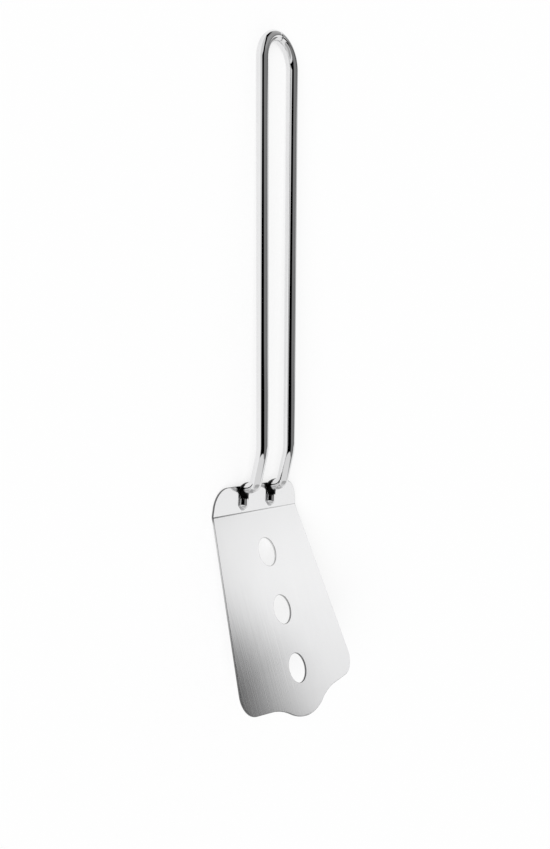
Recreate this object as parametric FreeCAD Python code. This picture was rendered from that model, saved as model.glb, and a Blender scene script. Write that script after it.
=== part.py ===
# A slotted spatula of polished and satin stainless steel.
# One bent wire makes the handle, and one stamped and folded sheet makes the blade.
# It lies face up, as it comes to rest: on its two wire ends and on the crown of its loop.
# X is the width, +Y points from the blade to the loop, +Z is up. Lengths are in millimetres.
import FreeCAD, Part
import math
import os

from FreeCAD import Vector

# Wire of the handle
wire_diameter = 6.0
crown_reach = 236.9          # fold line to the centre line of the crown, along the table
crown_half_width = 13.7      # centre line of a leg where the crown starts
shoulder_half_width = 12.3   # centre line of a leg where it leaves its crank

# Crank that lifts each leg from the flange, as places on the centre line
end_dome_setback = 4.5       # fold line to the centre of the rounded wire end
heel_setback = 12.2          # fold line to the corner where the wire turns up off the flange
crank_run = 1.6              # from that corner to the one above it, along the table
crank_rise = 7.0             # and upwards
shoulder_setback = 31.5      # fold line to the corner where the straight leg starts
shoulder_rise = 10.5         # height of that corner over the wire end
heel_radius = 4.2
knee_radius = 4.0
shoulder_radius = 24.0

# Sheet of the blade
sheet_thickness = 1.0
fold_angle = 21.0            # rise of the blade over the flange, in degrees
fold_inner_radius = 2.0
fold_width = 74.4
flange_depth = 13.8          # fold line to the flange's free edge
flange_inset = 2.0           # how far each side of the flange leans in at its free edge
flange_corner_radius = 11.0
edge_round = 0.2             # deburred edges all round the sheet

# Outline of the blade
blade_length = 104.5         # fold line to the tip of the middle lobe
side_flare = 9.3             # each side leans out by this angle, in degrees
corner_radius = 10.0
shoulder_line_angle = 6.0    # slope of the front edge beside each corner, in degrees
lobe_radius = 30.0
lobe_half_angle = 30.0       # half of the middle lobe's arc, in degrees
cove_radius = 37.0

# Drain holes in a row on the centre line
hole_diameter = 14.6
first_hole = 21.5            # fold line to the first hole's centre
last_hole = 23.4             # tip of the middle lobe to the last hole's centre
hole_count = 3

# Slots in the flange that take the wire ends
weld_gap = 0.05              # between the wire and each wall of its slot

wire_radius = wire_diameter / 2
slot_radius = wire_radius + weld_gap
face_height = wire_radius + sheet_thickness / 2   # the flange is level with the wire's centre


def rounded_path(corners, radii):
    """Straight runs joined by tangent arcs, one radius for each inner corner."""
    edges = []
    start = corners[0]
    for before, corner, after, radius in zip(corners, corners[1:], corners[2:], radii):
        back = (before - corner).normalize()
        ahead = (after - corner).normalize()
        half_turn = (math.pi - back.getAngle(ahead)) / 2
        setback = radius * math.tan(half_turn)
        inward = (back + ahead).normalize()
        arc_start = corner + back * setback
        arc_middle = corner + inward * (radius / math.cos(half_turn) - radius)
        arc_end = corner + ahead * setback
        if (arc_start - start).Length > 1e-6:
            edges.append(Part.LineSegment(start, arc_start).toShape())
        edges.append(Part.Arc(arc_start, arc_middle, arc_end).toShape())
        start = arc_end
    if (corners[-1] - start).Length > 1e-6:
        edges.append(Part.LineSegment(start, corners[-1]).toShape())
    return Part.Wire(edges)


def round_bar(path):
    """One solid for each edge of the path: a cylinder for a run, a piece of a ring for an arc."""
    stretches = []
    for edge in path.Edges:
        way = edge.tangentAt(edge.FirstParameter)
        start = edge.valueAt(edge.FirstParameter)
        section = Part.Face(Part.Wire([Part.makeCircle(wire_radius, start, way)]))
        if isinstance(edge.Curve, Part.Line):
            stretches.append(section.extrude(way * edge.Length))
        else:
            circle = edge.Curve
            turn = math.degrees(edge.Length / circle.Radius)
            stretches.append(section.revolve(circle.Center, circle.Axis, turn))
    return stretches


def leg_corners(side):
    """Corners of one leg's centre line, from its rounded end to the crown's corner."""
    lower = side * shoulder_half_width
    return [
        Vector(lower, end_dome_setback, wire_radius),
        Vector(lower, heel_setback, wire_radius),
        Vector(lower, heel_setback + crank_run, wire_radius + crank_rise),
        Vector(lower, shoulder_setback, wire_radius + shoulder_rise),
        Vector(side * crown_half_width, crown_reach, wire_radius),
    ]


def crown_radius():
    """Radius that lets the two corner arcs of the crown meet on the centre line."""
    shoulder, crown = leg_corners(1)[-2:]
    leg = (shoulder - crown).normalize()
    half_turn = (math.pi - leg.getAngle(Vector(-1, 0, 0))) / 2
    return crown_half_width / math.tan(half_turn)


def make_wire_handle():
    """One round wire, bent into a long loop with a crank at each end."""
    left = leg_corners(-1)
    right = leg_corners(1)
    crank = [heel_radius, knee_radius, shoulder_radius]
    radii = crank + [crown_radius()] * 2 + crank[::-1]
    stretches = round_bar(rounded_path(left + right[::-1], radii))
    stretches += [Part.makeSphere(wire_radius, end) for end in (left[0], right[0])]
    return stretches[0].fuse(stretches[1:]).removeSplitter()


def mirrored_outline(half):
    """A closed wire from one half outline and its mirror image, closed by a straight edge."""
    other = [edge.mirror(Vector(0, 0, 0), Vector(1, 0, 0)) for edge in half]
    first = half[0].firstVertex().Point
    base = Part.LineSegment(first, Vector(-first.x, first.y, first.z)).toShape()
    return Part.Wire(Part.__sortEdges__(half + other + [base]))


def blade_half_outline(start_setback):
    """Right half of the blade, drawn flat: its side, corner, cove and half of its lobe."""
    flare = math.radians(side_flare)
    slope = math.radians(shoulder_line_angle)
    lobe = math.radians(lobe_half_angle)
    start = Vector(fold_width / 2, -start_setback, 0)

    lobe_centre = Vector(0, lobe_radius - blade_length, 0)
    tip = Vector(0, -blade_length, 0)
    lobe_middle = lobe_centre + Vector(math.sin(lobe / 2), -math.cos(lobe / 2), 0) * lobe_radius
    lobe_end = lobe_centre + Vector(math.sin(lobe), -math.cos(lobe), 0) * lobe_radius

    cove_centre = lobe_centre + Vector(math.sin(lobe), -math.cos(lobe), 0) * (lobe_radius + cove_radius)
    between = (lobe + slope) / 2
    cove_middle = cove_centre + Vector(-math.sin(between), math.cos(between), 0) * cove_radius
    cove_end = cove_centre + Vector(-math.sin(slope), math.cos(slope), 0) * cove_radius

    side_way = Vector(math.sin(flare), -math.cos(flare), 0)
    edge_way = Vector(math.cos(slope), math.sin(slope), 0)
    reach = cove_end - start
    along_edge = (side_way.x * reach.y - side_way.y * reach.x) / (
        edge_way.x * side_way.y - edge_way.y * side_way.x)
    corner = cove_end + edge_way * along_edge

    side_and_corner = rounded_path([start, corner, cove_end], [corner_radius])
    return side_and_corner.Edges + [
        Part.Arc(cove_end, cove_middle, lobe_end).toShape(),
        Part.Arc(lobe_end, lobe_middle, tip).toShape(),
    ]


def flange_half_outline(start_setback):
    """Right half of the flange, drawn flat: its side, corner and half of its free edge."""
    start = Vector(fold_width / 2, start_setback, 0)
    corner = Vector(fold_width / 2 - flange_inset, flange_depth, 0)
    middle = Vector(0, flange_depth, 0)
    return rounded_path([start, corner, middle], [flange_corner_radius]).Edges


def plate(half_outline):
    """A flat plate whose upper face lies at z = 0."""
    face = Part.Face(mirrored_outline(half_outline))
    solid = face.extrude(Vector(0, 0, -sheet_thickness))
    return solid


def rim_edges(sheet):
    """Edges where a flat skin of the sheet meets its thin walls. The fold's short ends stay sharp."""
    owners = {}
    for face in sheet.Faces:
        if is_skin(face):
            for edge in face.Edges:
                owners.setdefault(edge.hashCode(), []).append((edge, face))
    single = [pairs[0] for pairs in owners.values() if len(pairs) == 1]
    return [edge for edge, face in single if isinstance(face.Surface, Part.Plane)]


def is_skin(face):
    """True for a face of the blade, the fold or the flange that faces up or down."""
    u_low, u_high, v_low, v_high = face.ParameterRange
    normal = face.normalAt((u_low + u_high) / 2, (v_low + v_high) / 2)
    steepest = math.cos(math.radians(fold_angle)) - 0.01
    return abs(normal.z) > steepest and abs(normal.x) < 0.01


def make_blade():
    """One sheet: a short flange for the handle, a fold, and the broad blade with its holes."""
    fold_setback = fold_inner_radius * math.tan(math.radians(fold_angle) / 2)

    blade = plate(blade_half_outline(fold_setback))
    hole_pitch = (blade_length - first_hole - last_hole) / (hole_count - 1)
    for number in range(hole_count):
        centre = Vector(0, -(first_hole + number * hole_pitch), -sheet_thickness * 2)
        blade = blade.cut(Part.makeCylinder(hole_diameter / 2, sheet_thickness * 4, centre))
    blade.rotate(Vector(0, 0, 0), Vector(1, 0, 0), -fold_angle)

    flange = plate(flange_half_outline(fold_setback))
    for side in (-1, 1):
        slot_end = Vector(side * shoulder_half_width, end_dome_setback, -sheet_thickness * 2)
        slot_corner = slot_end - Vector(slot_radius, 0, 0)
        flange = flange.cut(Part.makeCylinder(slot_radius, sheet_thickness * 4, slot_end))
        flange = flange.cut(
            Part.makeBox(slot_radius * 2, flange_depth, sheet_thickness * 4, slot_corner))

    across = Part.LineSegment(
        Vector(-fold_width / 2, fold_setback, 0), Vector(fold_width / 2, fold_setback, 0)).toShape()
    section = across.extrude(Vector(0, 0, -sheet_thickness))
    bend_axis = Vector(0, fold_setback, fold_inner_radius)
    fold = section.revolve(bend_axis, Vector(-1, 0, 0), fold_angle)

    sheet = blade.fuse([flange, fold]).removeSplitter().Solids[0]
    sheet = sheet.makeFillet(edge_round, rim_edges(sheet))
    sheet.translate(Vector(0, 0, face_height))
    return sheet


def main():
    os.makedirs("parts", exist_ok=True)
    nodes = {"wire_handle": make_wire_handle(), "blade": make_blade()}
    lobe_tip = -blade_length * math.cos(math.radians(fold_angle))
    loop_end = crown_reach + wire_radius
    to_middle = Vector(0, -(lobe_tip + loop_end) / 2, 0)
    for name, shape in nodes.items():
        shape.translate(to_middle)
        box = shape.optimalBoundingBox(False, False)
        print(name, shape.isValid(), len(shape.Solids), round(shape.Volume, 1),
              [round(v, 2) for v in (box.XMin, box.XMax, box.YMin, box.YMax, box.ZMin, box.ZMax)])
        shape.exportStep("parts/" + name + ".step")


main()
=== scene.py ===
# %% [markdown]
# A kitchen spatula in two metals. One round wire, polished like a mirror, is bent into a long
# handle. A thin sheet with a satin grain is cut, pierced, folded once and welded to its two ends.
# The measured model comes first. Everything that follows is made around it, in metres, and each
# new piece lies exactly where the measured one lies.

# %% Load the measured model
import math

import bmesh
import bpy
from mathutils import Matrix, Vector
from mathutils.geometry import tessellate_polygon


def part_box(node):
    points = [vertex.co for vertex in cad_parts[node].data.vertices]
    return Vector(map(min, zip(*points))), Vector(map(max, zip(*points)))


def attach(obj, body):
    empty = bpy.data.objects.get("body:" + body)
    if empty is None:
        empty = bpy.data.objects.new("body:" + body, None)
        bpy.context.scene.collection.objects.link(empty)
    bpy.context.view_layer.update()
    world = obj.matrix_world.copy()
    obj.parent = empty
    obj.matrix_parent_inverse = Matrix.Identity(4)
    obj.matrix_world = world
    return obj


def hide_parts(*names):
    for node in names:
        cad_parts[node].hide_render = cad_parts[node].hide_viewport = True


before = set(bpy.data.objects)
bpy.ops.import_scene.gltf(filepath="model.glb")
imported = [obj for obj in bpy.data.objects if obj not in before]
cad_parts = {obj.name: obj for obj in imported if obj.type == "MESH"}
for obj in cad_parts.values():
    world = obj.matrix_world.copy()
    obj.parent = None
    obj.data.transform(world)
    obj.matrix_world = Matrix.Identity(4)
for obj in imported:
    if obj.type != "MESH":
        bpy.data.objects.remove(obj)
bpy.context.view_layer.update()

MM = 0.001

# %% [markdown]
# The spatula's sizes. They are the ones that the measured model was drawn with, so a new piece
# fits it with no adjusting. The fold alone is drawn with twice the radius: that moves its face by
# less than 0.04 mm, and a rounder fold catches the light as a soft line. A setback is a distance
# from the fold line. The model's place along Y is read from the model itself, and the fold line
# is found from it.

# %% Sizes of the wire
WIRE_RADIUS = 3.0 * MM
CROWN_REACH = 236.9 * MM
CROWN_HALF_WIDTH = 13.7 * MM
SHOULDER_HALF_WIDTH = 12.3 * MM
END_DOME_SETBACK = 4.5 * MM
HEEL_SETBACK = 12.2 * MM
CRANK_RUN = 1.6 * MM
CRANK_RISE = 7.0 * MM
SHOULDER_SETBACK = 31.5 * MM
SHOULDER_RISE = 10.5 * MM
HEEL_RADIUS = 4.2 * MM
KNEE_RADIUS = 4.0 * MM
SHOULDER_RADIUS = 24.0 * MM

# %% Sizes of the sheet
SHEET = 1.0 * MM
FACE_HEIGHT = WIRE_RADIUS + SHEET / 2
RIM_ROUND = 0.2 * MM
FOLD_ANGLE = math.radians(21.0)
FOLD_RADIUS = 4.0 * MM
FOLD_HALF_WIDTH = 37.2 * MM
FLANGE_DEPTH = 13.8 * MM
FLANGE_INSET = 2.0 * MM
FLANGE_CORNER = 11.0 * MM
WELD_GAP = 0.05 * MM
SLOT_RADIUS = WIRE_RADIUS + WELD_GAP

BLADE_LENGTH = 104.5 * MM
SIDE_FLARE = math.radians(9.3)
BLADE_CORNER = 10.0 * MM
SHOULDER_LINE = math.radians(6.0)
LOBE_RADIUS = 30.0 * MM
LOBE_ANGLE = math.radians(30.0)
COVE_RADIUS = 37.0 * MM

HOLE_RADIUS = 7.3 * MM
HOLE_COUNT = 3
FIRST_HOLE = 21.5 * MM
LAST_HOLE_TO_TIP = 23.4 * MM
HOLE_PITCH = (BLADE_LENGTH - FIRST_HOLE - LAST_HOLE_TO_TIP) / (HOLE_COUNT - 1)
HOLE_PLACES = [FIRST_HOLE + number * HOLE_PITCH for number in range(HOLE_COUNT)]

FOLD_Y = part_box("wire_handle")[1].y - CROWN_REACH - WIRE_RADIUS
print("the fold lies at y =", round(FOLD_Y / MM, 2), "mm")
print("holes from the fold:", [round(place / MM, 1) for place in HOLE_PLACES], "mm")

# %% [markdown]
# Finishes are worked out as arithmetic. A Reading holds one value on its way through a finish, and
# plus, minus and times work on it as on a number, each adding one Math node.

# %% One value of a finish
class Reading:
    """One value that varies over a surface, ready for arithmetic."""

    def __init__(self, finish, socket):
        self.finish = finish
        self.socket = socket

    def math(self, operation, *values):
        """What a Math node makes of these values."""
        made = self.finish.node("ShaderNodeMath", {"operation": operation}, dict(enumerate(values)))
        return made[0]

    def __add__(self, other):
        return self.math("ADD", self, other)

    def __radd__(self, other):
        return self.math("ADD", other, self)

    def __sub__(self, other):
        return self.math("SUBTRACT", self, other)

    def __rsub__(self, other):
        return self.math("SUBTRACT", other, self)

    def __mul__(self, other):
        return self.math("MULTIPLY", self, other)

    def __rmul__(self, other):
        return self.math("MULTIPLY", other, self)


# %% [markdown]
# A Finish is the sheet of nodes itself. Its node method makes any node from its type, its settings
# and the values of its sockets. The other methods are the few steps that the metals here need:
# a place and its three axes, a soft step, a cloudy variation, a grain that is drawn out one way,
# a tint, a relief, and at last the bare metal itself.

# %% The sheet of nodes
class Finish:
    """The node sheet of a material, of the world or of a Geometry Nodes tree."""

    def __init__(self, tree):
        self.tree = tree
        tree.nodes.clear()

    def node(self, kind, settings=None, sockets=None):
        """Makes a node and returns its outputs, by name and by number."""
        made = self.tree.nodes.new(kind)
        for name, value in (settings or {}).items():
            setattr(made, name, value)
        for key, value in (sockets or {}).items():
            if isinstance(value, Reading):
                self.tree.links.new(value.socket, made.inputs[key])
            else:
                made.inputs[key].default_value = value
        outputs = {}
        for number, socket in enumerate(made.outputs):
            outputs[number] = outputs[socket.name] = Reading(self, socket)
        return outputs

    def place(self):
        """The place on the piece that wears this finish."""
        return self.node("ShaderNodeTexCoord")["Object"]

    def axes(self, place):
        """The three numbers of a place or a direction."""
        parts = self.node("ShaderNodeSeparateXYZ", {}, {0: place})
        return parts["X"], parts["Y"], parts["Z"]

    def ramp(self, reading, low, high, start=0.0, end=1.0):
        """Goes smoothly from start to end while the reading goes from low to high."""
        settings = {"interpolation_type": "SMOOTHSTEP", "clamp": True}
        sockets = {
            "Value": reading, "From Min": low, "From Max": high, "To Min": start, "To Max": end}
        return self.node("ShaderNodeMapRange", settings, sockets)["Result"]

    def noise(self, place, lumps, detail=2.0, roughness=0.5):
        """Cloudy variation about one half, at so many lumps a metre."""
        sockets = {"Vector": place, "Scale": lumps, "Detail": detail, "Roughness": roughness}
        return self.node("ShaderNodeTexNoise", {}, sockets)["Fac"]

    def grain(self, place, lumps, detail=2.0, roughness=0.5):
        """The same variation, with its own number of lumps a metre on each axis."""
        drawn_out = self.node("ShaderNodeVectorMath", {"operation": "MULTIPLY"}, {
            0: place, 1: lumps})["Vector"]
        return self.noise(drawn_out, 1.0, detail, roughness)

    def tint(self, mask, low, high):
        """A colour between two others, each given as three numbers or as a reading."""
        ends = [end if isinstance(end, Reading) else (*end, 1.0) for end in (low, high)]
        sockets = {0: mask, 6: ends[0], 7: ends[1]}
        return self.node("ShaderNodeMix", {"data_type": "RGBA"}, sockets)[2]

    def relief(self, height, depth, strength=1.0):
        """Normals that show a height as a relief so deep."""
        sockets = {"Height": height, "Distance": depth, "Strength": strength}
        return self.node("ShaderNodeBump", {}, sockets)["Normal"]

    def metal(self, colour, roughness, normal=None):
        """Ends the sheet with bare metal of this colour and gloss, and with a relief if given."""
        sockets = {"Base Color": colour, "Metallic": 1.0, "Roughness": roughness}
        if normal:
            sockets["Normal"] = normal
        shader = self.node("ShaderNodeBsdfPrincipled", {}, sockets)
        self.node("ShaderNodeOutputMaterial", {}, {"Surface": shader["BSDF"]})


def new_finish(name):
    """A new material and its empty sheet."""
    material = bpy.data.materials.new(name)
    material.use_nodes = True
    return material, Finish(material.node_tree)


def steel(level):
    """The colour of stainless steel, with its trace of blue."""
    return level, level, level + 0.005


# %% [markdown]
# Polished wire. Stainless rod is drawn through a die and then buffed until it mirrors the room.
# What is left of the work are very fine lines round the wire and a faint haze that comes and goes.
# The haze goes into the roughness, the lines into a bump less than a micron deep. Beside the weld
# a painted dark reflection blackens the wire, with a ragged edge. It is placed by the wire's own
# shape: a stretch along Y, and a height that climbs from one side of each leg to the other.

# %% Finish of the wire
# The painted dark reflection beside the weld: where it begins and ends, its top and its black.
DARK_REFLECTION_BEGINS = 8.0 * MM, 8.8 * MM      # from the fold line, along the wire
DARK_REFLECTION_ENDS = 20.0 * MM, 21.0 * MM
DARK_REFLECTION_TOP = 8.4 * MM, 9.2 * MM         # over the table, in the middle of a leg
DARK_REFLECTION_SLANT = 0.7                      # climb of that top across a leg
DARK_REFLECTION_RAGGED = 2.0 * MM
PAINTED_REFLECTION_BLACK = 0.004, 0.004, 0.004


def painted_dark_reflection(finish, place):
    """One where a dark reflection is painted black on the wire, and nothing elsewhere."""
    x, y, z = finish.axes(place)
    along = y - FOLD_Y
    across_leg = x - x.math("SIGN", x) * SHOULDER_HALF_WIDTH
    patches = finish.noise(place, 900.0) * DARK_REFLECTION_RAGGED
    begun = finish.ramp(along + patches, *DARK_REFLECTION_BEGINS)
    not_ended = finish.ramp(along, *DARK_REFLECTION_ENDS, 1.0, 0.0)
    below_top = finish.ramp(z - DARK_REFLECTION_SLANT * across_leg + patches, *DARK_REFLECTION_TOP, 1.0, 0.0)
    return begun * not_ended * below_top


def polished_wire():
    """The wire's finish: a mirror with a faint haze, and a painted dark reflection beside the weld.
    """
    material, finish = new_finish("mirror_polish")
    place = finish.place()
    haze = finish.noise(place, 160.0, detail=3.0)
    buffing = finish.grain(place, (500.0, 3500.0, 500.0))
    # Black painted beside the weld as a dark reflection.
    dark_reflection_mask = painted_dark_reflection(finish, place)
    polish = finish.tint(haze, steel(0.79), steel(0.84))
    finish.metal(
        colour=finish.tint(dark_reflection_mask, polish, PAINTED_REFLECTION_BLACK),
        roughness=0.01 + 0.02 * haze + 0.01 * buffing + 0.18 * dark_reflection_mask,
        normal=finish.relief(buffing, 0.02 * MM, strength=0.03))
    return material


# %% [markdown]
# Satin sheet. The blade is rubbed along its length with a fine belt, which leaves thousands of
# straight scratches. They are drawn on the flat pattern of the sheet, stored as its UV map, so that
# they run over the fold as the real ones do. Each scratch changes the colour, the gloss and the
# height a little.

# %% Finish of the sheet
FLAT_PATTERN = "flat_pattern"


def satin_sheet():
    """The sheet's finish: belt scratches along the flat pattern."""
    material, finish = new_finish("satin_grain")
    pattern = finish.node("ShaderNodeUVMap", {"uv_map": FLAT_PATTERN})["UV"]
    fine = finish.grain(pattern, (7000.0, 60.0, 1.0), detail=3.0, roughness=0.6)
    broad = finish.grain(pattern, (1400.0, 9.0, 1.0))
    cloud = finish.noise(pattern, 45.0)
    finish.metal(
        colour=finish.tint(0.5 * fine + 0.5 * broad, steel(0.86), steel(0.93)),
        roughness=0.08 + 0.05 * fine + 0.03 * cloud,
        normal=finish.relief(0.0006 * fine + 0.005 * broad, MM))
    return material


# %% [markdown]
# Cut rim. The edge of the sheet was sheared and then tumbled, so it is duller than the faces,
# with short marks all over. Its dark tone is partly that duller finish and partly painted dark
# reflection. On the blade a light band is painted beside the fold as a painted sheen, fading
# towards the front edge and before the flange. The weld is bare metal with a ripple.

# %% Finish of the rim and of the weld
# The rim's tone is partly its dull cut finish and partly painted dark reflection, with a painted
# sheen band.
RIM_PAINTED_SHEEN_BEGINS = -75.0 * MM, -12.0 * MM     # from the fold line
RIM_PAINTED_SHEEN_ENDS = -4.0 * MM, 0.0
RIM_DULL_AND_PAINTED_DARK = 0.13, 0.13, 0.132
WHITE = 1.0, 1.0, 1.0


def rim_and_painted_sheen():
    """The rim's finish: dull marks, and a painted sheen beside the fold on the blade."""
    material, finish = new_finish("rim_and_painted_sheen")
    place = finish.place()
    _, y, _ = finish.axes(place)
    along = y - FOLD_Y
    marks = finish.noise(place, 2600.0)
    # A painted sheen on the blade's rim beside the fold, gone before the flange.
    painted_sheen = finish.ramp(along, *RIM_PAINTED_SHEEN_BEGINS) * finish.ramp(along, *RIM_PAINTED_SHEEN_ENDS, 1.0, 0.0)
    finish.metal(
        colour=finish.tint(0.11 * marks + 0.55 * painted_sheen, RIM_DULL_AND_PAINTED_DARK, WHITE),
        roughness=0.22 + 0.14 * marks)
    return material


def weld_metal():
    """The weld's finish: bare metal with a ripple."""
    material, finish = new_finish("weld_metal")
    place = finish.place()
    ripple = finish.noise(place, 1500.0)
    finish.metal(
        colour=finish.tint(ripple, steel(0.62), steel(0.78)),
        roughness=0.16 + 0.14 * ripple,
        normal=finish.relief(ripple, 0.05 * MM, strength=0.3))
    return material


wire_finish = polished_wire()
sheet_finish = satin_sheet()
rim_finish = rim_and_painted_sheen()
weld_finish = weld_metal()
print("finishes:", [m.name for m in (wire_finish, sheet_finish, rim_finish, weld_finish)])

# %% [markdown]
# Both the handle and the blade are drawn as straight stretches with rounded corners, as a wire
# bender and a sheet cutter think of them. One helper rounds any corner with an arc, in space or
# on the flat pattern, and another draws a plain arc on the flat pattern.

# %% Rounding a corner
QUARTER_TURN = math.pi / 2


def rounded_line(corners, radii, steps):
    """Points along straight stretches whose inner corners are rounded by arcs of these radii."""
    line = [Vector(corners[0])]
    for before, corner, after, radius in zip(corners, corners[1:], corners[2:], radii):
        corner = Vector(corner)
        back = (Vector(before) - corner).normalized()
        ahead = (Vector(after) - corner).normalized()
        half = back.angle(ahead) / 2
        middle = (back + ahead).normalized()
        centre = corner + middle * (radius / math.sin(half))
        swing = QUARTER_TURN - half
        side = (back - middle * back.dot(middle)).normalized()
        for step in range(steps + 1):
            turn = swing * (1 - 2 * step / steps)
            line.append(centre + (side * math.sin(turn) - middle * math.cos(turn)) * radius)
    line.append(Vector(corners[-1]))
    return line


def way(turn):
    """A direction on the flat pattern, its turn counted from +X."""
    return Vector((math.cos(turn), math.sin(turn)))


def arc(centre, radius, start, end, steps):
    """Points on a flat arc, from one turn to another."""
    turns = [start + (end - start) * step / steps for step in range(steps + 1)]
    return [Vector(centre) + way(turn) * radius for turn in turns]


# %% [markdown]
# The handle's centre line. The wire starts in its slot, climbs off the flange in a short crank,
# runs up to the loop and comes back the same way. Both ends are finished with a half ball: rings
# that shrink to nothing within one wire radius, closer together towards the tip.

# %% The handle's centre line
BEND_STEPS = 40
DOME_RINGS = 14


def leg_corners(side):
    """Corners of one leg, from its rounded end to the crown."""
    lower = side * SHOULDER_HALF_WIDTH
    return [
        (lower, FOLD_Y + END_DOME_SETBACK, WIRE_RADIUS),
        (lower, FOLD_Y + HEEL_SETBACK, WIRE_RADIUS),
        (lower, FOLD_Y + HEEL_SETBACK + CRANK_RUN, WIRE_RADIUS + CRANK_RISE),
        (lower, FOLD_Y + SHOULDER_SETBACK, WIRE_RADIUS + SHOULDER_RISE),
        (side * CROWN_HALF_WIDTH, FOLD_Y + CROWN_REACH, WIRE_RADIUS),
    ]


def crown_radius():
    """Radius that lets the two corner arcs of the crown meet in the middle."""
    shoulder, crown = (Vector(corner) for corner in leg_corners(1)[-2:])
    half_turn = (math.pi - (shoulder - crown).angle(Vector((-1, 0, 0)))) / 2
    return CROWN_HALF_WIDTH / math.tan(half_turn)


def dome(end, outward):
    """Rings of a half ball, from its tip to the full wire, as (point, share of the radius)."""
    turns = [QUARTER_TURN * ring / DOME_RINGS for ring in range(DOME_RINGS)]
    return [(end + outward * WIRE_RADIUS * math.cos(turn), math.sin(turn)) for turn in turns]


def wire_line():
    """Centre line of the wire as (point, share of the full radius)."""
    crank = [HEEL_RADIUS, KNEE_RADIUS, SHOULDER_RADIUS]
    radii = crank + [crown_radius()] * 2 + crank[::-1]
    middle = rounded_line(leg_corners(-1) + leg_corners(1)[::-1], radii, BEND_STEPS)
    first = dome(middle[0], (middle[0] - middle[1]).normalized())
    last = dome(middle[-1], (middle[-1] - middle[-2]).normalized())
    return first + [(point, 1.0) for point in middle] + last[::-1]


centre_line = wire_line()
print("points along the wire:", len(centre_line))

# %% [markdown]
# The wire itself follows that line, so it is made by Geometry Nodes: a circle is swept along the
# line, each point of which carries its own share of the radius. The weld seams below use the same
# tree with a thinner circle. Points that fall together, as at the tips, are merged, and the tree
# ends in real mesh with its finish on it.

# %% A tree that sweeps a round section along a line
CLOSES_TIPS = 0.002 * MM


def sweep_tree():
    """The Geometry Nodes tree, with its inputs named."""
    tree = bpy.data.node_groups.new("sweep_round_section", "GeometryNodeTree")
    for name, way_in, kind in (
            ("Line", "INPUT", "Geometry"), ("Section radius", "INPUT", "Float"),
            ("Sides", "INPUT", "Int"), ("Finish", "INPUT", "Material"),
            ("Piece", "OUTPUT", "Geometry")):
        tree.interface.new_socket(name, in_out=way_in, socket_type="NodeSocket" + kind)
    sheet = Finish(tree)
    given = sheet.node("NodeGroupInput")
    circle = sheet.node("GeometryNodeCurvePrimitiveCircle", {"mode": "RADIUS"}, {
        "Resolution": given["Sides"], "Radius": given["Section radius"]})
    swept = sheet.node("GeometryNodeCurveToMesh", {}, {
        "Curve": given["Line"], "Profile Curve": circle["Curve"],
        "Scale": sheet.node("GeometryNodeInputRadius")["Radius"]})
    closed = sheet.node("GeometryNodeMergeByDistance", {}, {
        "Geometry": swept["Mesh"], "Distance": CLOSES_TIPS})
    smooth = sheet.node("GeometryNodeSetShadeSmooth", {}, {"Geometry": closed["Geometry"]})
    real = sheet.node("GeometryNodeRealizeInstances", {}, {"Geometry": smooth["Geometry"]})
    done = sheet.node("GeometryNodeSetMaterial", {}, {
        "Geometry": real["Geometry"], "Material": given["Finish"]})
    sheet.node("NodeGroupOutput", {}, {"Piece": done["Geometry"]})
    return tree


sweep = sweep_tree()
print("nodes in the sweeping tree:", len(sweep.nodes))

# %% [markdown]
# A piece starts as a draft, a line or a mesh with a modifier on it. What the modifier makes of it
# is taken as a plain mesh, and the draft goes. Then every face is turned outwards, and the edges
# that are still open are counted, because a closed piece has none.

# %% From a draft to a finished piece
def in_scene(name, data):
    """A new object in the scene."""
    made = bpy.data.objects.new(name, data)
    bpy.context.scene.collection.objects.link(made)
    return made


def finished(draft, name):
    """The plain mesh that a draft's modifiers make, as a piece of this name."""
    view = bpy.context.evaluated_depsgraph_get()
    mesh = bpy.data.meshes.new_from_object(draft.evaluated_get(view), depsgraph=view)
    bpy.data.objects.remove(draft)
    mesh.name = name
    return in_scene(name, mesh)


def turn_outwards(name, shape):
    """Turns every face of a closed shape outwards, and prints what it has."""
    bmesh.ops.recalc_face_normals(shape, faces=shape.faces)
    open_edges = sum(1 for edge in shape.edges if not edge.is_manifold)
    print(name, len(shape.faces), "faces,", open_edges, "open edges")


def swept_piece(name, lines, radius, sides, finish):
    """A mesh piece: a round section swept along each of these lines."""
    curve = bpy.data.curves.new(name + "_line", "CURVE")
    curve.dimensions = "3D"
    for line in lines:
        spline = curve.splines.new("POLY")
        spline.points.add(len(line) - 1)
        for place, (point, share) in zip(spline.points, line):
            place.co = (*point, 1.0)
            place.radius = share
    guide = in_scene(name + "_guide", curve)
    modifier = guide.modifiers.new("sweep", "NODES")
    modifier.node_group = sweep
    chosen = {"Section radius": radius, "Sides": sides, "Finish": finish}
    for item in sweep.interface.items_tree:
        if item.name in chosen:
            modifier[item.identifier] = chosen[item.name]
    piece = finished(guide, name)
    shape = bmesh.new()
    shape.from_mesh(piece.data)
    turn_outwards(name, shape)
    shape.to_mesh(piece.data)
    shape.free()
    return piece


# %% The handle
WIRE_SIDES = 64

handle = swept_piece("handle_wire", [centre_line], WIRE_RADIUS, WIRE_SIDES, wire_finish)
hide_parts("wire_handle")
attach(handle, "root")

# %% [markdown]
# The sheet's flat pattern. A cutter sees the blade flat, so its outline is drawn flat too, with
# the fold line at zero, the blade below it and the flange above. The front edge is a lobe between
# two coves. Two slots in the flange take the ends of the wire. The right half is drawn and the
# left half mirrored.

# %% The flat pattern
CURVE_STEPS = 28
HOLE_STEPS = 84
FOLD_STEPS = 8
FOLD_SETBACK = FOLD_RADIUS * math.tan(FOLD_ANGLE / 2)


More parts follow.
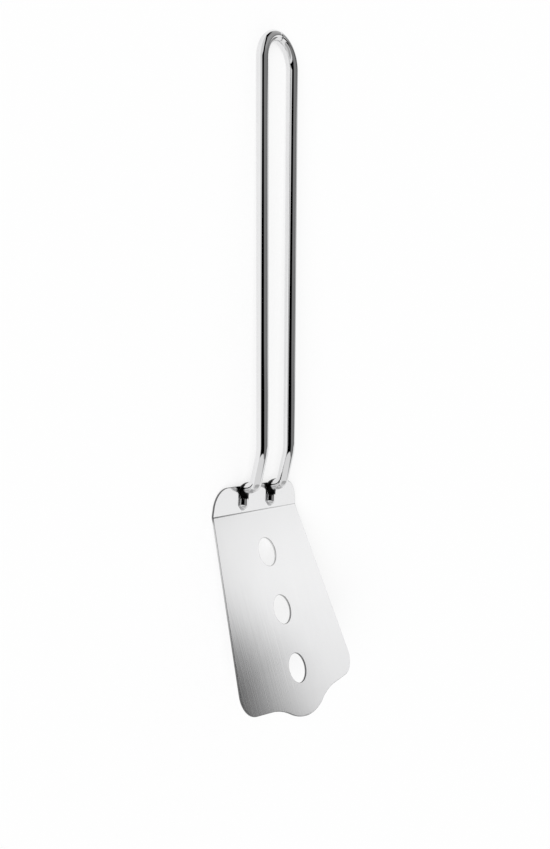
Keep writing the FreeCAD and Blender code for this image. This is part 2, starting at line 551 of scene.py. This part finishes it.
def blade_edge():
    """Right half of the blade's edge, from the fold to the middle of the front edge."""
    start = Vector((FOLD_HALF_WIDTH, -FOLD_SETBACK))
    lobe_centre = Vector((0.0, LOBE_RADIUS - BLADE_LENGTH))
    lobe_end = LOBE_ANGLE - QUARTER_TURN
    cove_centre = lobe_centre + way(lobe_end) * (LOBE_RADIUS + COVE_RADIUS)
    cove_start = SHOULDER_LINE + QUARTER_TURN
    cove_place = cove_centre + way(cove_start) * COVE_RADIUS
    side_way = way(SIDE_FLARE - QUARTER_TURN)
    edge_way = way(SHOULDER_LINE)
    along_edge = side_way.cross(cove_place - start) / edge_way.cross(side_way)
    corner = cove_place + edge_way * along_edge
    side = rounded_line([start, corner, cove_place], [BLADE_CORNER], CURVE_STEPS)
    cove = arc(cove_centre, COVE_RADIUS, cove_start, LOBE_ANGLE + QUARTER_TURN, CURVE_STEPS)
    lobe = arc(lobe_centre, LOBE_RADIUS, lobe_end, -QUARTER_TURN, CURVE_STEPS)
    return side[:-1] + cove[:-1] + lobe


def flange_edge():
    """Right half of the flange's edge, from the middle of its free edge to the fold."""
    slot = Vector((SHOULDER_HALF_WIDTH, END_DOME_SETBACK))
    middle = Vector((0.0, FLANGE_DEPTH))
    inner_mouth = Vector((slot.x - SLOT_RADIUS, FLANGE_DEPTH))
    outer_mouth = Vector((slot.x + SLOT_RADIUS, FLANGE_DEPTH))
    corner = Vector((FOLD_HALF_WIDTH - FLANGE_INSET, FLANGE_DEPTH))
    end = Vector((FOLD_HALF_WIDTH, FOLD_SETBACK))
    seat = arc(slot, SLOT_RADIUS, math.pi, math.tau, CURVE_STEPS)
    side = rounded_line([outer_mouth, corner, end], [FLANGE_CORNER], CURVE_STEPS)
    return [middle, inner_mouth] + seat + side


def mirrored(half):
    """The other half of an edge, walked back the other way."""
    return [Vector((-point.x, point.y)) for point in reversed(half)]


def hole_edge(place):
    """The edge of the hole so far from the fold."""
    return arc((0.0, -place), HOLE_RADIUS, 0.0, math.tau, HOLE_STEPS)[:-1]


flange_loop = mirrored(flange_edge())[:-1] + flange_edge()
blade_loop = blade_edge() + mirrored(blade_edge())[1:]
hole_loops = [hole_edge(place) for place in HOLE_PLACES]
fold_rows = [FOLD_SETBACK * (1 - 2 * step / FOLD_STEPS) for step in range(FOLD_STEPS + 1)]
right_fold = [Vector((FOLD_HALF_WIDTH, row)) for row in fold_rows]
outline = flange_loop + right_fold[1:-1] + blade_loop + mirrored(right_fold)[1:-1]
print("points on the outline:", len(outline), "and on each hole:", len(hole_loops[0]))

# %% [markdown]
# From pattern to folded sheet. One function takes any point of the flat pattern, with its depth
# under the upper face, to its place on the folded blade. The skins are flat, and the rim is
# a band of rings that rounds both edges of the cut. Both go through that same function, so
# they meet exactly.

# %% Folding the sheet
def folded(point, depth):
    """Place of a point of the flat pattern, so far under the upper face, on the folded sheet."""
    x, flat = point
    if flat >= FOLD_SETBACK:
        y, z = flat, -depth
    elif flat <= -FOLD_SETBACK:
        y = flat * math.cos(FOLD_ANGLE) - depth * math.sin(FOLD_ANGLE)
        z = -flat * math.sin(FOLD_ANGLE) - depth * math.cos(FOLD_ANGLE)
    else:
        turn = FOLD_ANGLE * (FOLD_SETBACK - flat) / (2 * FOLD_SETBACK)
        y = FOLD_SETBACK - (FOLD_RADIUS + depth) * math.sin(turn)
        z = FOLD_RADIUS - (FOLD_RADIUS + depth) * math.cos(turn)
    return Vector((x, FOLD_Y + y, FACE_HEIGHT + z))


# %% Rings of the rim
RIM_STEPS = 4
MITRE_LIMIT = 0.3       # keeps a sharp corner from moving too far


def drawn_in(loop, distance):
    """A loop moved into the sheet by a distance. The sheet lies on the right of the walk."""
    moved = []
    for before, point, after in zip(loop[-1:] + loop[:-1], loop, loop[1:] + loop[:1]):
        into = (point - before).normalized()
        out = (after - point).normalized()
        right = Vector((into.y, -into.x))
        normal = (right + Vector((out.y, -out.x))).normalized()
        moved.append(point + normal * (distance / max(MITRE_LIMIT, normal.dot(right))))
    return moved


def rim_rings():
    """(distance drawn in, depth) of each ring of the rim, from the upper face to the lower one."""
    turns = [QUARTER_TURN * step / RIM_STEPS for step in range(RIM_STEPS + 1)]
    top = [(RIM_ROUND * (1 - math.sin(t)), RIM_ROUND * (1 - math.cos(t))) for t in turns]
    return top + [(inset, SHEET - depth) for inset, depth in reversed(top)]


# %% [markdown]
# The faces. Each one keeps its place on the flat pattern as its UV, for the grain. The bands of
# the rim are four-sided. Flange and blade are filled with triangles between their outline and
# their holes, and the fold between them is a row of narrow strips.

# %% Faces of the sheet
SKIN, RIM = 0, 1


def add_face(shape, corners, finish):
    """One face, its corners given as (point of the flat pattern, depth)."""
    pattern = shape.loops.layers.uv.active
    face = shape.faces.new([shape.verts.new(folded(point, depth)) for point, depth in corners])
    face.material_index = finish
    for corner, (point, _) in zip(face.loops, corners):
        corner[pattern].uv = point


def add_rims(shape):
    """The band round the outline and the band inside each hole."""
    for loop in [outline] + hole_loops:
        rings = [[(point, depth) for point in drawn_in(loop, inset)]
                 for inset, depth in rim_rings()]
        for upper, lower in zip(rings, rings[1:]):
            for corners in zip(upper, upper[1:] + upper[:1], lower[1:] + lower[:1], lower):
                add_face(shape, corners, RIM)


def add_skins(shape):
    """The upper and the lower face of the flange, the blade and the fold."""
    skin = drawn_in(outline, RIM_ROUND)
    holes = [drawn_in(loop, RIM_ROUND) for loop in hole_loops]
    blade_start = len(flange_loop) + FOLD_STEPS - 1
    blade_end = blade_start + len(blade_loop)
    flange = skin[:len(flange_loop)]
    blade = skin[blade_start:blade_end]
    right = skin[len(flange_loop) - 1:blade_start + 1]
    left = (skin[blade_end - 1:] + skin[:1])[::-1]
    for depth in (0.0, SHEET):
        for loops in ([flange], [blade] + holes):
            points = [point for loop in loops for point in loop]
            triangles = tessellate_polygon([[point.to_3d() for point in loop] for loop in loops])
            for triangle in triangles:
                add_face(shape, [(points[number], depth) for number in triangle], SKIN)
        for strip in zip(right, right[1:], left[1:], left):
            add_face(shape, [(point, depth) for point in strip], SKIN)


# %% [markdown]
# The finished blade. The faces are joined where they meet, and light runs smoothly over every
# edge that is not sharp. The large flat faces are many times wider than the rounded rim beside
# them, so the normals are weighted by size, and the flats look flat right up to the rim.

# %% The blade
MEET = 0.001 * MM
SHARP = math.radians(40.0)


def build_blade():
    """The folded sheet as a mesh."""
    shape = bmesh.new()
    shape.loops.layers.uv.new(FLAT_PATTERN)
    add_rims(shape)
    add_skins(shape)
    bmesh.ops.remove_doubles(shape, verts=shape.verts, dist=MEET)
    turn_outwards("blade_sheet", shape)
    for face in shape.faces:
        face.smooth = True
    for edge in shape.edges:
        edge.smooth = edge.calc_face_angle(0.0) < SHARP
    mesh = bpy.data.meshes.new("blade_draft")
    shape.to_mesh(mesh)
    shape.free()
    mesh.materials.append(sheet_finish)
    mesh.materials.append(rim_finish)
    return mesh


draft = in_scene("blade_draft", build_blade())
draft.modifiers.new("even", "WEIGHTED_NORMAL").keep_sharp = True
blade = finished(draft, "blade_sheet")
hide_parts("blade")
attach(blade, "root")

# %% [markdown]
# The weld seams. Each end of the wire sits in its slot and is welded in. What shows is a thin
# bead in the corner between wire and sheet, on both faces, in the shape of the slot. It follows
# a path, so the sweeping tree makes it too, with a thin section that fades out at both ends.

# %% The weld seams
SEAM_RADIUS = 0.28 * MM
SEAM_SIDES = 16
SEAM_TOP = 9.6 * MM
SEAM_FADE = 0.3         # share of each straight run in which the bead grows to its full width


def seam_line(side, depth):
    """A seam's centre line round one slot, as (point, share of the full radius)."""
    centre = (side * SHOULDER_HALF_WIDTH, END_DOME_SETBACK)
    seat = arc(centre, WIRE_RADIUS, math.pi, math.tau, CURVE_STEPS)
    tops = [Vector((end.x, SEAM_TOP)) for end in (seat[0], seat[-1])]
    full = [tops[0].lerp(seat[0], SEAM_FADE)] + seat + [tops[1].lerp(seat[-1], SEAM_FADE)]
    line = [(tops[0], 0.0)] + [(point, 1.0) for point in full] + [(tops[1], 0.0)]
    return [(folded(point, depth), share) for point, share in line]


seam_lines = [seam_line(side, depth) for side in (-1, 1) for depth in (0.0, SHEET)]
seams = swept_piece("weld_seams", seam_lines, SEAM_RADIUS, SEAM_SIDES, weld_finish)
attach(seams, "root")

# %% [markdown]
# The floor is pale and plain. Nearly a third of what it shows is the light that falls on it, and
# that part keeps the spatula's soft shadow. The rest is a plain white for the camera and for what
# mirrors the floor, so that it reads as white paper without any more light on the metal.

# %% The floor
FLOOR_REACH = 20.0
PAPER = 0.96, 0.96, 0.96, 1.0
PLAIN_WHITE = 1.0, 1.0, 1.0, 1.0
PLAIN_SHARE = 0.7


def paper_floor():
    """The floor's finish: plain white that still takes a shadow."""
    material, finish = new_finish("paper_floor")
    rays = finish.node("ShaderNodeLightPath")
    camera_ray = rays["Is Camera Ray"]
    seen = camera_ray.math("MAXIMUM", camera_ray, rays["Is Glossy Ray"])
    paper = finish.node("ShaderNodeBsdfDiffuse", {}, {"Color": PAPER})
    white = finish.node("ShaderNodeEmission", {}, {"Color": PLAIN_WHITE, "Strength": 1.0})
    mixed = finish.node("ShaderNodeMixShader", {}, {
        0: seen * PLAIN_SHARE, 1: paper["BSDF"], 2: white["Emission"]})
    finish.node("ShaderNodeOutputMaterial", {}, {"Surface": mixed[0]})
    return material


floor_mesh = bpy.data.meshes.new("floor")
floor_corners = [(x * FLOOR_REACH, y * FLOOR_REACH, 0.0)
                 for x, y in ((-1, -1), (1, -1), (1, 1), (-1, 1))]
floor_mesh.from_pydata(floor_corners, [], [(0, 1, 2, 3)])
floor_mesh.materials.append(paper_floor())
in_scene("floor", floor_mesh)
print("floor", 2 * FLOOR_REACH, "m wide")

# %% [markdown]
# The room that the metal mirrors. Polished metal shows nothing of its own, only what stands
# round it. A photographer puts a white wall on one side, hangs a black card on the other and lets
# the ceiling between them go grey, and the wire then draws them as a white, a black and a grey
# stripe along its whole length. The room here is that, drawn on the sky for glossy rays alone.
# The sweep is an angle in degrees: 0 is level, behind the camera, 90 straight up, and 180 level
# with the wall beyond. Along runs from -1 at the blade's end of the room to 1 at the loop's.

# %% Where a field of the room begins
def field_edge(room, along, start, turns):
    """Sweep at which a field begins: a start, and more degrees from one place along to another."""
    edge = start
    for degrees, place, next_place in turns:
        edge = edge + degrees * room.ramp(along, place, next_place)
    return edge


# %% [markdown]
# Lowest, behind the camera, is a band of soft light. The black card hangs above it, and its lower
# edge climbs towards the loop. The grey ceiling begins where the card ends, and it is a little
# lighter towards the loop.

# %% The black card and the grey ceiling
LOW_LIGHT = 0.75
CARD_START, CARD_CLIMB, CARD_CURVE = 11.0, 40.0, 60.0
CARD_TURNS = [(-30.0, 0.50, 0.95)]
CARD_SOFTNESS = 1.5
CEILING_START = 68.0
CEILING_TURNS = [(7.0, 0.09, 0.03), (16.0, 0.33, 0.55), (14.0, 0.58, 0.85)]
CEILING_SOFTNESS = 3.0
CEILING_GREYS = 0.22, 0.35
CEILING_LIGHTENS = 0.35, 0.60


def card_and_ceiling(room, along, sweep_angle):
    """Brightness from the low light over the card to the ceiling."""
    climb = CARD_START + CARD_CLIMB * along + CARD_CURVE * along * along
    past_card = sweep_angle - field_edge(room, along, climb, CARD_TURNS)
    light = room.ramp(past_card, -CARD_SOFTNESS, CARD_SOFTNESS, LOW_LIGHT, 0.0)
    grey = room.ramp(along, *CEILING_LIGHTENS, *CEILING_GREYS)
    past_ceiling = sweep_angle - field_edge(room, along, CEILING_START, CEILING_TURNS)
    return light + grey * room.ramp(past_ceiling, -CEILING_SOFTNESS, CEILING_SOFTNESS)


# %% [markdown]
# The white wall beyond, with a dark cornice along its top. The wall is taller at the blade's end.
# Low down, and towards the loop, where the cornice sinks out of sight, one long soft curve from
# dark to white takes the wall's place.

# %% The wall and its cornice
TOP_START = 140.6
TOP_TURNS = [(-17.5, -0.02, -0.10), (3.5, 0.05, 0.015), (0.5, 0.09, 0.13), (-1.7, 0.13, 0.22),
             (40.0, 0.30, 0.42)]
CORNICE = -14.0, -4.0                  # degrees before the wall's top in which it gets dark
CORNICE_SHADE = 0.10
WALL_BEGINS = 0.5, 5.5                 # degrees past its top
WALL_DIMS = 0.20, 0.28, 1.0, 0.92      # towards the loop
WALL_WHITENS = 0.06, 0.17, 0.91, 1.0   # away from the blade
CURVE_SWEEP = 138.0, 225.0
CURVE_TAKES_OVER = 0.27, 0.34          # along
CURVE_LOW = 154.0, 158.0               # degrees
CURVE_STOPS = -0.06, 0.0


def cornice_and_wall(room, along, sweep_angle):
    """Shade of the cornice, and share of white wall, in a direction of the room."""
    past_top = sweep_angle - field_edge(room, along, TOP_START, TOP_TURNS)
    cornice = room.ramp(past_top, *CORNICE, 1.0, CORNICE_SHADE)
    wall = room.ramp(past_top, *WALL_BEGINS) * room.ramp(along, *WALL_DIMS)
    wall = wall * room.ramp(along, *WALL_WHITENS)
    curve = room.ramp(sweep_angle, *CURVE_SWEEP)
    takes_over = along.math(
        "MAXIMUM", room.ramp(along, *CURVE_TAKES_OVER), room.ramp(sweep_angle, *CURVE_LOW))
    takes_over = takes_over * room.ramp(along, *CURVE_STOPS)
    return cornice, wall + (curve - wall) * takes_over


# %% [markdown]
# A pale screen closes the room beyond the blade. It is darker higher up, and gets brighter again
# towards its middle. Past the loop the room ends in the dark. Only mirrors see all this: diffuse
# light comes from a plain grey sky, and the camera sees white.

# %% The screen and the whole room
SCREEN_EDGE = 60.0, 95.0, -0.22, -0.38     # degrees, and the places along where it begins
SCREEN_SOFTNESS = 0.02
SCREEN_PALE, SCREEN_DARKER, SCREEN_BRIGHTER = 0.80, -0.36, 0.25
SCREEN_DARKENS = -0.46, -0.50
SCREEN_DARK_SWEEP = 15.0, 40.0
SCREEN_BRIGHTENS = -0.70, -0.90
DARK_END = 0.84, 0.93
DARK_END_SWEEP = 55.0, 70.0
PLAIN_SKY = 0.62


def pale_screen(room, along, sweep_angle):
    """Brightness of the screen, and its share in a direction of the room."""
    darker = room.ramp(along, *SCREEN_DARKENS) * room.ramp(sweep_angle, *SCREEN_DARK_SWEEP)
    screen = SCREEN_PALE + SCREEN_DARKER * darker
    screen = screen + SCREEN_BRIGHTER * room.ramp(along, *SCREEN_BRIGHTENS)
    past_edge = along - room.ramp(sweep_angle, *SCREEN_EDGE)
    return screen, room.ramp(past_edge, -SCREEN_SOFTNESS, SCREEN_SOFTNESS, 1.0, 0.0)


def studio_room():
    """Draws the room on the sky."""
    world = bpy.data.worlds.new("studio_room")
    bpy.context.scene.world = world
    world.use_nodes = True
    room = Finish(world.node_tree)
    x, along, z = room.axes(room.node("ShaderNodeTexCoord")["Generated"])
    sweep_angle = x.math("ARCTAN2", z, x * -1.0) * math.degrees(1.0)

    cornice, wall = cornice_and_wall(room, along, sweep_angle)
    light = card_and_ceiling(room, along, sweep_angle) * cornice
    light = light + (1.0 - light) * wall
    screen, share = pale_screen(room, along, sweep_angle)
    light = light + (screen - light) * share * (1.0 - wall)
    dark_end = room.ramp(along, *DARK_END) * room.ramp(sweep_angle, *DARK_END_SWEEP)
    light = light * (1.0 - dark_end)

    rays = room.node("ShaderNodeLightPath")
    plain = PLAIN_SKY + (1.0 - PLAIN_SKY) * rays["Is Camera Ray"]
    strength = plain + (light - plain) * rays["Is Glossy Ray"]
    sky = room.node("ShaderNodeBackground", {}, {"Color": PLAIN_WHITE, "Strength": strength})
    room.node("ShaderNodeOutputWorld", {}, {"Surface": sky["Background"]})
    print("the room takes", len(world.node_tree.nodes), "nodes")


studio_room()

# %% [markdown]
# One broad lamp, like a large softbox above and behind the camera. It throws a soft shadow to
# the far side. Metal does not mirror it, so it leaves no disc on the wire.

# %% The lamp
LAMP_STRENGTH = 2.5
LAMP_WIDTH = math.radians(36.0)
TO_LAMP = Vector((-0.86, -0.06, 0.50))

lamp_data = bpy.data.lights.new("softbox", "SUN")
lamp_data.energy = LAMP_STRENGTH
lamp_data.angle = LAMP_WIDTH
lamp = in_scene("softbox", lamp_data)
lamp.rotation_mode = "QUATERNION"
lamp.rotation_quaternion = TO_LAMP.to_track_quat("Z", "Y")
lamp.visible_glossy = False
print("the lamp stands", round(math.degrees(math.asin(TO_LAMP.normalized().z))), "degrees up")

# %% [markdown]
# The camera. In the picture the spatula stands upright and is seen from its left and a
# little from above its handle. Here it lies on its back as it would on a table, so the camera
# looks down on it from its left side, with the handle pointing up in the frame.

# %% The camera
IMAGE_HEIGHT = 849
FOCAL_PIXELS = 1018.0
SENSOR_WIDTH = 36.0
CAMERA_PLACE = Vector((-428.9, 6.9, 290.5)) * MM
CAMERA_AIM = Vector((14.2, -27.5, 3.0)) * MM
CAMERA_ROLL = math.radians(2.69)
SEES_FROM, SEES_TO = 0.01, 100.0
HANDLE_WAY = Vector((0.0, 1.0, 0.0))


def photo_camera():
    """Makes the camera and looks through it."""
    data = bpy.data.cameras.new("camera")
    data.sensor_fit = "AUTO"
    data.sensor_width = SENSOR_WIDTH
    data.lens = SENSOR_WIDTH * FOCAL_PIXELS / IMAGE_HEIGHT
    data.clip_start, data.clip_end = SEES_FROM, SEES_TO
    camera = in_scene("camera", data)
    back = (CAMERA_PLACE - CAMERA_AIM).normalized()
    right = HANDLE_WAY.cross(back).normalized()
    upright = Matrix((right, back.cross(right), back)).transposed()
    camera.matrix_world = (Matrix.Translation(CAMERA_PLACE) @ upright.to_4x4()
                           @ Matrix.Rotation(CAMERA_ROLL, 4, "Z"))
    bpy.context.scene.camera = camera
    print("lens", round(data.lens, 2), "mm")


photo_camera()
bpy.context.scene.view_settings.view_transform = "Standard"
